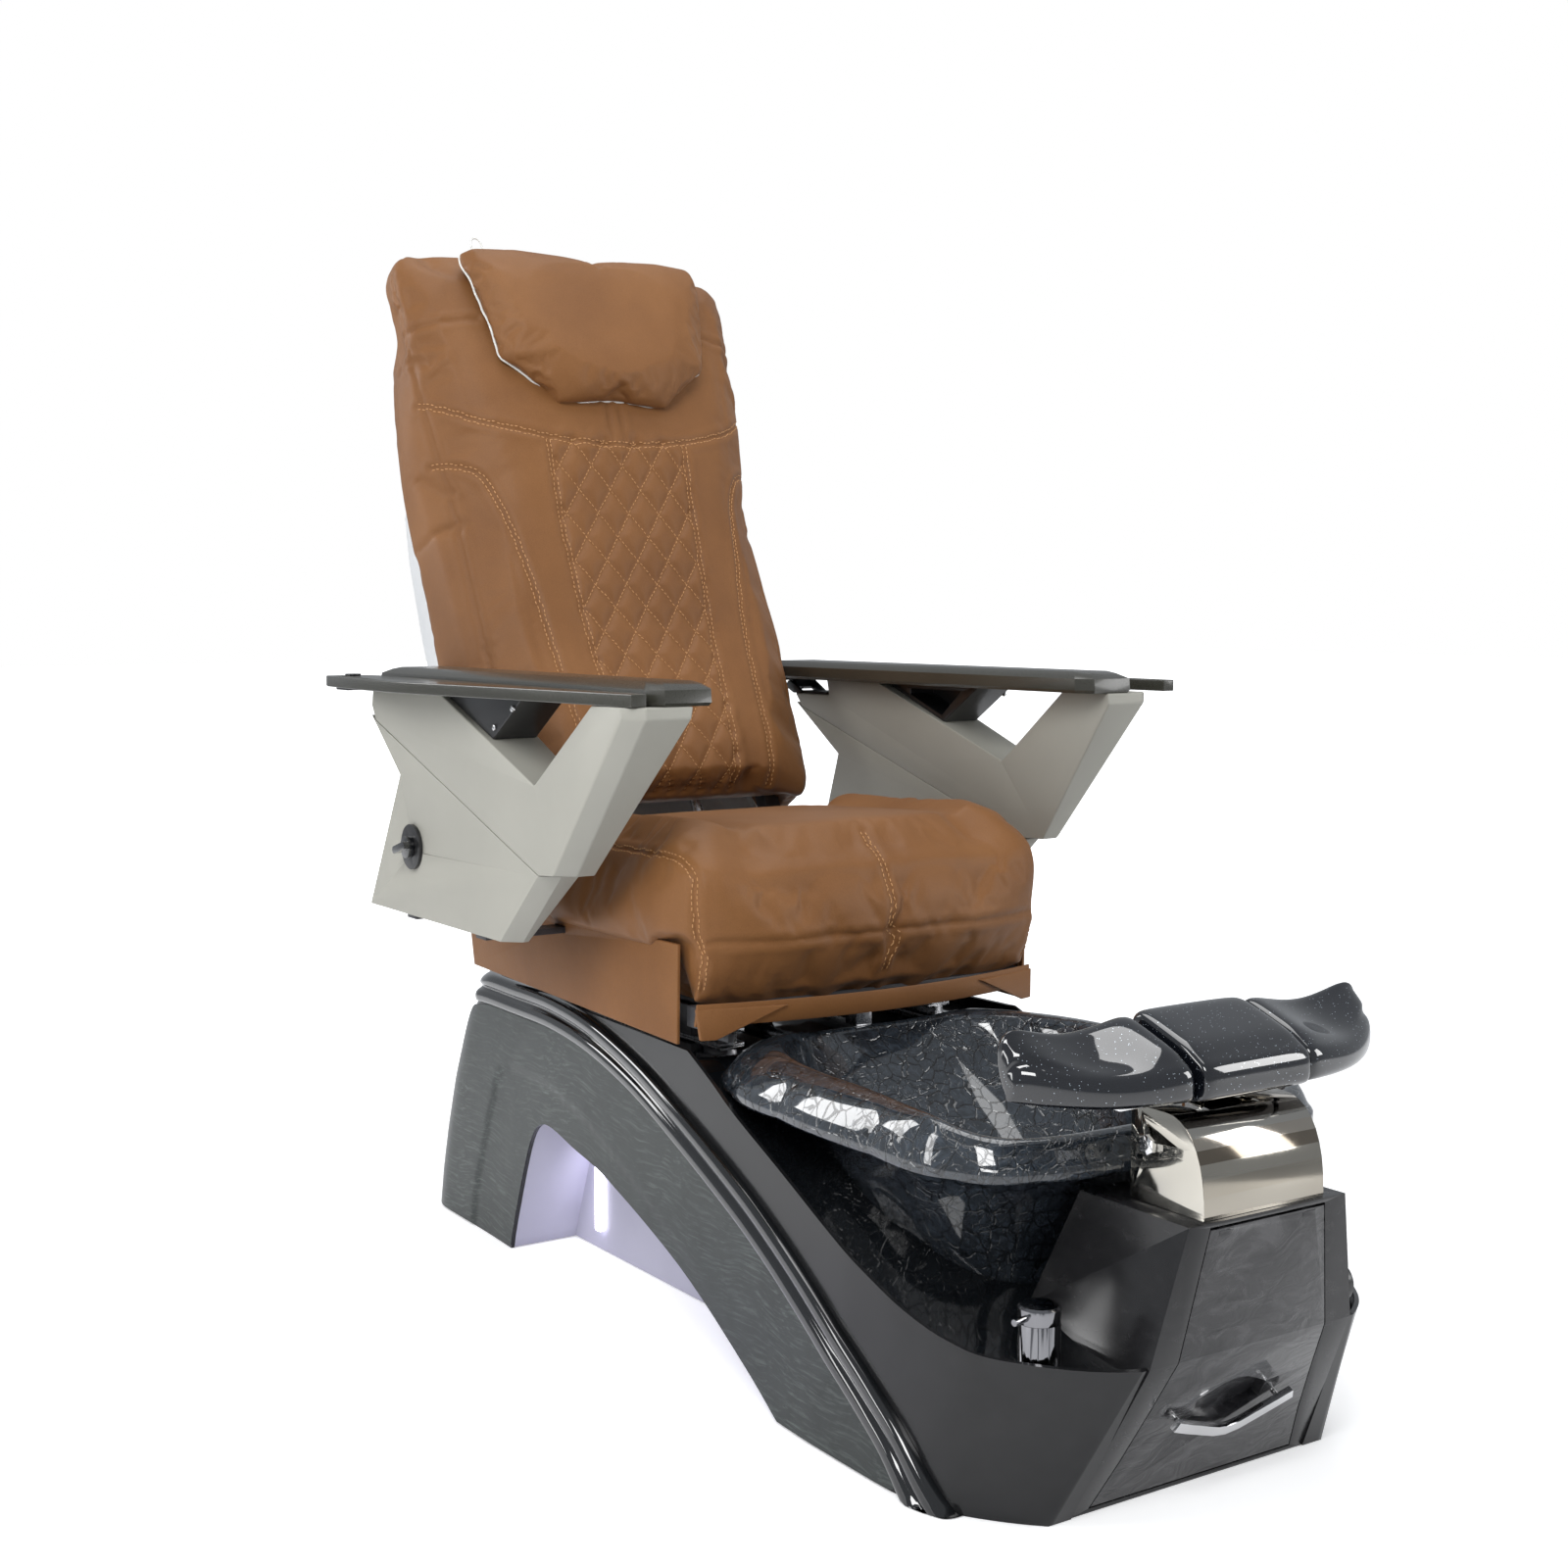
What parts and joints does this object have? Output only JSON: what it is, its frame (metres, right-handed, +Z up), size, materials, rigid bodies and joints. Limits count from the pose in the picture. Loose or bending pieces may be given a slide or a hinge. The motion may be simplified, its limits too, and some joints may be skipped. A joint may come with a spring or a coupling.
{
  "type": "pedicure spa chair",
  "caption": "Reclining massage chair with lifting armrests and swing trays on a moulded base with a foot basin, tilting footrest and front access door.",
  "frame": {"origin": "on the floor, below the middle of the bounding box", "axes": "+Z up, -Y is the way the sitter faces, +X across the chair"},
  "size_m": [0.9355, 1.6199, 1.4702],
  "materials": {
    "shell": "satin moulded shell",
    "black": "high gloss",
    "panel": "satin, streaked",
    "liner": "pale lit plastic",
    "light": "light diffuser",
    "steel": "powder coat",
    "rubber": "moulded",
    "housing": "satin marbled",
    "bowl": "gloss, veined",
    "chrome": "polished",
    "plastic": "moulded",
    "sparkle": "gloss with metal flake",
    "leather": "upholstery",
    "skirt": "upholstery flap",
    "arm": "fine texture",
    "cover": "fine texture",
    "pad": "fine grain",
    "back_shell": "satin",
    "bright": "ground"
  },
  "bodies": {
    "base": {"base_shell": "shell", "deck_tray": "black", "side_panel_left": "panel", "side_panel_right": "panel", "side_rails_left": "black", "side_rails_right": "black", "recess_liner_left": "liner", "recess_liner_right": "liner", "light_bars": "light", "chassis_frame": "steel", "levelling_feet": "rubber", "front_housing": "housing", "door_hinge_pin": "chrome", "basin": "bowl", "drain_strainer": "chrome", "drain_pump": "plastic", "jet_cover": "chrome", "jet_motor": "plastic", "mixer_body": "chrome", "footrest_bracket": "chrome", "footrest_pin": "chrome", "seat_rails": "bright", "slide_motor": "plastic"},
    "door": {"access_door": "housing", "door_handle": "chrome"},
    "impeller": {"jet_impeller": "plastic"},
    "mixer": {"mixer_lever": "chrome"},
    "water_control": {"water_knob": "plastic"},
    "drain_control": {"drain_lever": "plastic"},
    "footrest": {"footrest_arm": "steel", "footrest_left": "sparkle", "footrest_right": "sparkle", "footrest_band": "sparkle"},
    "seat": {"seat_frame": "steel", "slide_rod": "bright", "seat_cushion": "leather", "seat_skirt": "skirt", "arm_frame_left": "arm", "arm_frame_right": "arm", "arm_cover_left": "cover", "arm_cover_right": "cover", "armrest_hinges": "plastic", "armrest_props": "plastic", "arm_knob_plate": "plastic", "recline_motor": "plastic", "frame_bolts": "chrome"},
    "side_knob": {"arm_knob": "plastic"},
    "rest_left": {"armrest_left": "pad", "armrest_lug_left": "plastic"},
    "rest_right": {"armrest_right": "pad", "armrest_lug_right": "plastic"},
    "table_left": {"tray_left": "pad"},
    "table_right": {"tray_right": "pad"},
    "back": {"back_frame": "steel", "back_shell": "back_shell", "back_cushion": "leather", "headrest_pillow": "leather", "massage_rods": "bright"},
    "massage": {"massage_carriage": "plastic"},
    "rollers": {"massage_rollers": "rubber"}
  },
  "joints": [
    {"name": "seat_slide", "type": "slide", "parent": "base", "child": "seat", "axis": [0, -1, 0], "range_m": [-0.1, 0.06]},
    {"name": "back_recline", "type": "hinge", "parent": "seat", "child": "back", "pos_m": [0, 0.345, 0.56], "axis": [-1, 0, 0], "range_deg": [-8, 27]},
    {"name": "massage_travel", "type": "slide", "parent": "back", "child": "massage", "axis": [0, 0.4289, 0.9033], "range_m": [-0.3, 0.26]},
    {"name": "roller_spin", "type": "hinge", "parent": "massage", "child": "rollers", "pos_m": [0, 0.56016, 0.93385], "axis": [1, 0, 0], "continuous": true},
    {"name": "armrest_lift_left", "type": "hinge", "parent": "seat", "child": "rest_left", "pos_m": [-0.346, 0.532, 0.803], "axis": [-1, 0, 0], "range_deg": [0, 75]},
    {"name": "armrest_lift_right", "type": "hinge", "parent": "seat", "child": "rest_right", "pos_m": [0.346, 0.532, 0.803], "axis": [-1, 0, 0], "range_deg": [0, 75]},
    {"name": "tray_swing_left", "type": "hinge", "parent": "rest_left", "child": "table_left", "pos_m": [-0.42, 0.54, 0.822], "axis": [0, 0, -1], "range_deg": [0, 75]},
    {"name": "tray_swing_right", "type": "hinge", "parent": "rest_right", "child": "table_right", "pos_m": [0.42, 0.54, 0.822], "axis": [0, 0, 1], "range_deg": [-3, 72]},
    {"name": "side_knob_turn", "type": "hinge", "parent": "seat", "child": "side_knob", "pos_m": [-0.412, 0.379, 0.601], "axis": [-1, 0, 0], "range_deg": [-90, 90]},
    {"name": "footrest_tilt", "type": "hinge", "parent": "base", "child": "footrest", "pos_m": [0, -0.734, 0.382], "axis": [1, 0, 0], "range_deg": [-12, 8]},
    {"name": "door_flap", "type": "hinge", "parent": "base", "child": "door", "pos_m": [0, -0.81249, 0.3085], "axis": [-1, 0, 0], "range_deg": [0, 70]},
    {"name": "mixer_turn", "type": "hinge", "parent": "base", "child": "mixer", "pos_m": [-0.205, -0.703, 0.215], "axis": [0, 0, 1], "range_deg": [-60, 60]},
    {"name": "water_knob_turn", "type": "hinge", "parent": "base", "child": "water_control", "pos_m": [0.18, -0.77, 0.205], "axis": [1, 0, 0], "range_deg": [-135, 135]},
    {"name": "drain_pull", "type": "slide", "parent": "base", "child": "drain_control", "axis": [1, 0, 0], "range_m": [0, 0.012]},
    {"name": "impeller_spin", "type": "hinge", "parent": "base", "child": "impeller", "pos_m": [0.044, -0.462, 0.15], "axis": [0, 0, 1], "continuous": true}
  ]
}
